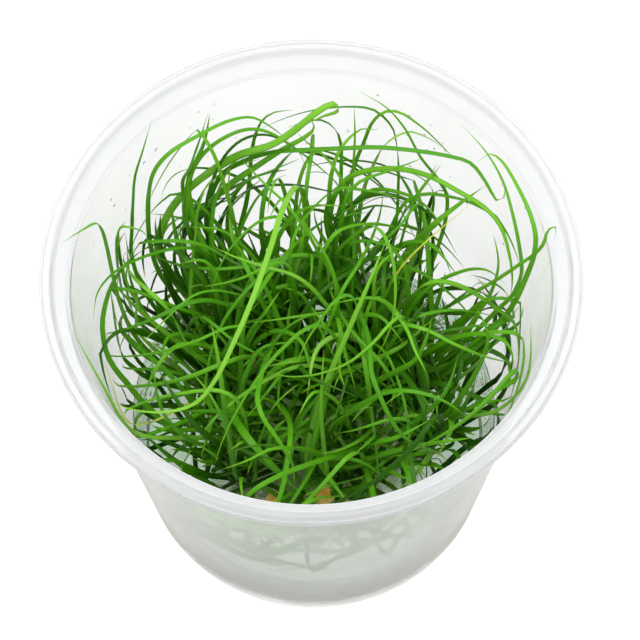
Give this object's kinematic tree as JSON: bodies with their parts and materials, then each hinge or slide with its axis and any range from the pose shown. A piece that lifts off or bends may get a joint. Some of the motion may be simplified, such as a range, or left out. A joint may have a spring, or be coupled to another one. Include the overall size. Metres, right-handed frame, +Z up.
{
  "type": "tissue culture cup with a clump of feather duster pipewort",
  "caption": "Open round see-through plastic cup with clear gel in its base and a dense clump of narrow, curling, grass-like aquarium plant leaves growing up to its rim.",
  "frame": {"origin": "on the cup's axis, at the plane it stands on", "axes": "+Z up along the cup's axis, -Y towards the front of the picture, +X to its right"},
  "size_m": [0.105, 0.105, 0.0893],
  "materials": {
    "cup": "thin milky see-through polypropylene, satin, with a faint water film inside",
    "gel": "clear wet nutrient gel, slightly cloudy",
    "crown": "pale green fleshy stem with short green leaves grown from its top, waxy",
    "callus": "tan to brown old plant tissue, wet",
    "leaf_green": "fresh green leaf, waxy sheen with fine length veins",
    "leaf_light": "light yellow-green leaf, waxy sheen with fine length veins",
    "leaf_dark": "dark green shaded leaf, waxy sheen",
    "leaf_yellow": "yellowed leaf, satin"
  },
  "bodies": {
    "root": {"cup": "cup", "gel": "gel", "crown_1": "crown", "crown_2": "crown", "crown_3": "crown", "crown_4": "crown", "crown_5": "crown", "crown_6": "crown", "crown_7": "crown", "crown_8": "crown", "callus_1": "callus", "callus_2": "callus", "callus_3": "callus", "leaf_01": "leaf_green", "leaf_02": "leaf_green", "leaf_03": "leaf_green", "leaf_04": "leaf_green", "leaf_05": "leaf_green", "leaf_06": "leaf_green", "leaf_07": "leaf_light", "leaf_08": "leaf_green", "leaf_09": "leaf_light", "leaf_10": "leaf_light", "leaf_11": "leaf_yellow", "leaf_12": "leaf_green", "leaf_13": "leaf_green", "leaf_14": "leaf_yellow", "leaf_15": "leaf_green", "leaf_16": "leaf_light", "leaf_17": "leaf_light", "leaf_18": "leaf_green", "leaf_19": "leaf_light", "leaf_20": "leaf_dark", "leaf_21": "leaf_green", "leaf_22": "leaf_green", "leaf_23": "leaf_light", "leaf_24": "leaf_green", "leaf_25": "leaf_light", "leaf_26": "leaf_green", "leaf_27": "leaf_light", "leaf_28": "leaf_green", "leaf_29": "leaf_green", "leaf_30": "leaf_light", "leaf_31": "leaf_green", "leaf_32": "leaf_green", "leaf_33": "leaf_green", "leaf_34": "leaf_dark", "leaf_35": "leaf_light", "leaf_36": "leaf_green", "leaf_37": "leaf_green", "leaf_38": "leaf_light", "leaf_39": "leaf_green", "leaf_40": "leaf_light", "leaf_41": "leaf_green", "leaf_42": "leaf_dark", "leaf_43": "leaf_green", "leaf_44": "leaf_green", "leaf_45": "leaf_green", "leaf_46": "leaf_light", "leaf_47": "leaf_green"}
  },
  "joints": []
}
